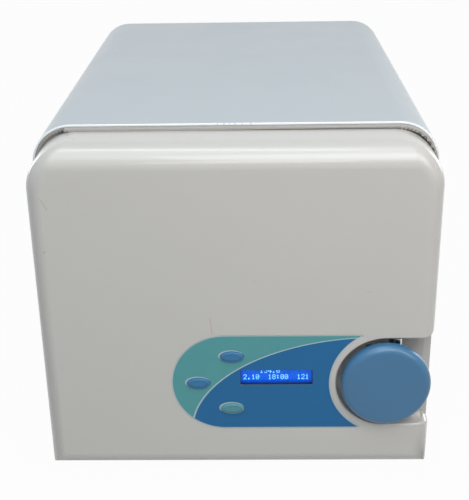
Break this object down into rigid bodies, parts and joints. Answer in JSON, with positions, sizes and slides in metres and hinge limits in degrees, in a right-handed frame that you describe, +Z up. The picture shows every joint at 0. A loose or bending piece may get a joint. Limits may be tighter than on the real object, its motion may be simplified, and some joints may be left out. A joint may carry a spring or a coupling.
{
  "type": "bench steam autoclave",
  "caption": "Front-loading bench steam autoclave with a moulded swing door, a screw-down knob, a small display with keys, a round chamber with trays and a sheet metal cabinet.",
  "frame": {"origin": "on the bench, under the middle of the whole machine", "axes": "+X to the right seen from the front, +Y from the door to the back, +Z up"},
  "size_m": [0.3426, 0.5146, 0.3118],
  "materials": {
    "door_moulding": "satin moulded plastic, pale warm grey",
    "cover_paint": "smooth light grey powder coat",
    "frame_moulding": "fine textured grey plastic",
    "panel_film": "printed film in teal and blue",
    "display_window": "clear flat glass",
    "display_body": "black bezel on a circuit board",
    "circuit_board": "green circuit board",
    "switch_black": "fine textured black plastic",
    "knob_blue": "satin blue plastic",
    "key_blue": "satin blue plastic",
    "key_teal": "satin teal plastic",
    "bright_steel": "polished plated steel",
    "plated_screws": "bright zinc plate",
    "stainless": "fine brushed stainless steel",
    "cast_alloy": "as cast, lightly blasted",
    "seal_rubber": "smooth translucent silicone, pale grey",
    "zinc_sheet": "grey coated sheet steel",
    "brass": "machined brass",
    "insulation": "woven glass fibre over wool",
    "foot_rubber": "matt black rubber",
    "core_steel": "varnished laminations",
    "coil_tape": "yellow winding tape"
  },
  "bodies": {
    "cabinet": {"lock_nut": "brass", "hinge_bolts": "plated_screws", "chamber_flange": "stainless", "chamber_shell": "stainless", "chamber_end": "stainless", "flange_bolts": "plated_screws", "heater_band": "stainless", "insulation_blanket": "insulation", "rear_cradle": "zinc_sheet", "front_bulkhead": "zinc_sheet", "front_frame": "frame_moulding", "frame_screws": "plated_screws", "outer_cover": "cover_paint", "cabinet_screws": "plated_screws", "base_pan": "zinc_sheet", "foot_screws": "plated_screws", "rear_panel": "cover_paint", "power_inlet": "switch_black", "inlet_blades": "bright_steel", "switch_housing": "switch_black", "fuse_holders": "switch_black", "safety_valve_body": "brass", "steam_valve_body": "brass", "steam_valve_coil": "switch_black", "drain_spigot": "brass", "temperature_probe": "plated_screws", "tray_rack": "stainless", "power_board": "circuit_board", "transformer_core": "core_steel", "transformer_coil": "coil_tape", "hinge_brackets": "cast_alloy", "hinge_pins": "bright_steel", "trays": "stainless", "rubber_feet": "foot_rubber"},
    "door": {"door_cover": "door_moulding", "door_liner": "stainless", "liner_screws": "plated_screws", "door_arm": "cast_alloy", "pressure_lid": "stainless", "door_seal": "seal_rubber", "lid_stud": "plated_screws", "lid_washer": "plated_screws", "lid_nut": "plated_screws", "panel_label": "panel_film", "display_glass": "display_window", "display_module": "display_body", "control_board": "circuit_board", "board_screws": "plated_screws", "tact_switches": "switch_black"},
    "lock_slide": {"lock_yoke": "switch_black", "yoke_pin": "bright_steel"},
    "knob_screw": {"knob": "knob_blue", "lock_spindle": "bright_steel", "spindle_clip": "plated_screws"},
    "key_upper": {"key_upper": "key_blue"},
    "key_left": {"key_left": "key_blue"},
    "key_lower": {"key_lower": "key_teal"},
    "mains_rocker": {"switch_rocker": "switch_black"},
    "valve_stem": {"safety_valve_stem": "brass"}
  },
  "joints": [
    {"name": "door_swing", "type": "hinge", "parent": "cabinet", "child": "door", "pos_m": [-0.1555, -0.21425, 0.159], "axis": [0, 0, -1], "range_deg": [0, 105]},
    {"name": "lock_advance", "type": "slide", "parent": "door", "child": "lock_slide", "axis": [0, 1, 0], "range_m": [0, 0.012]},
    {"name": "knob_turn", "type": "hinge", "parent": "lock_slide", "child": "knob_screw", "pos_m": [0.1267, -0.25, 0.0961], "axis": [0, 1, 0], "range_deg": [0, 1440]},
    {"name": "key_upper_press", "type": "slide", "parent": "door", "child": "key_upper", "axis": [0, 1, 0], "range_m": [0, 0.001], "stiffness_N_per_m": 300},
    {"name": "key_left_press", "type": "slide", "parent": "door", "child": "key_left", "axis": [0, 1, 0], "range_m": [0, 0.001], "stiffness_N_per_m": 300},
    {"name": "key_lower_press", "type": "slide", "parent": "door", "child": "key_lower", "axis": [0, 1, 0], "range_m": [0, 0.001], "stiffness_N_per_m": 300},
    {"name": "mains_switch", "type": "hinge", "parent": "cabinet", "child": "mains_rocker", "pos_m": [0.066, 0.23095, 0.052], "axis": [-1, 0, 0], "range_deg": [0, 18]},
    {"name": "valve_lift", "type": "slide", "parent": "cabinet", "child": "valve_stem", "axis": [0, 1, 0], "range_m": [0, 0.002], "stiffness_N_per_m": 800}
  ],
  "couplings": [
    {"joint": "lock_advance", "follows": "knob_turn", "m_per_rad": 0.00047746}
  ]
}
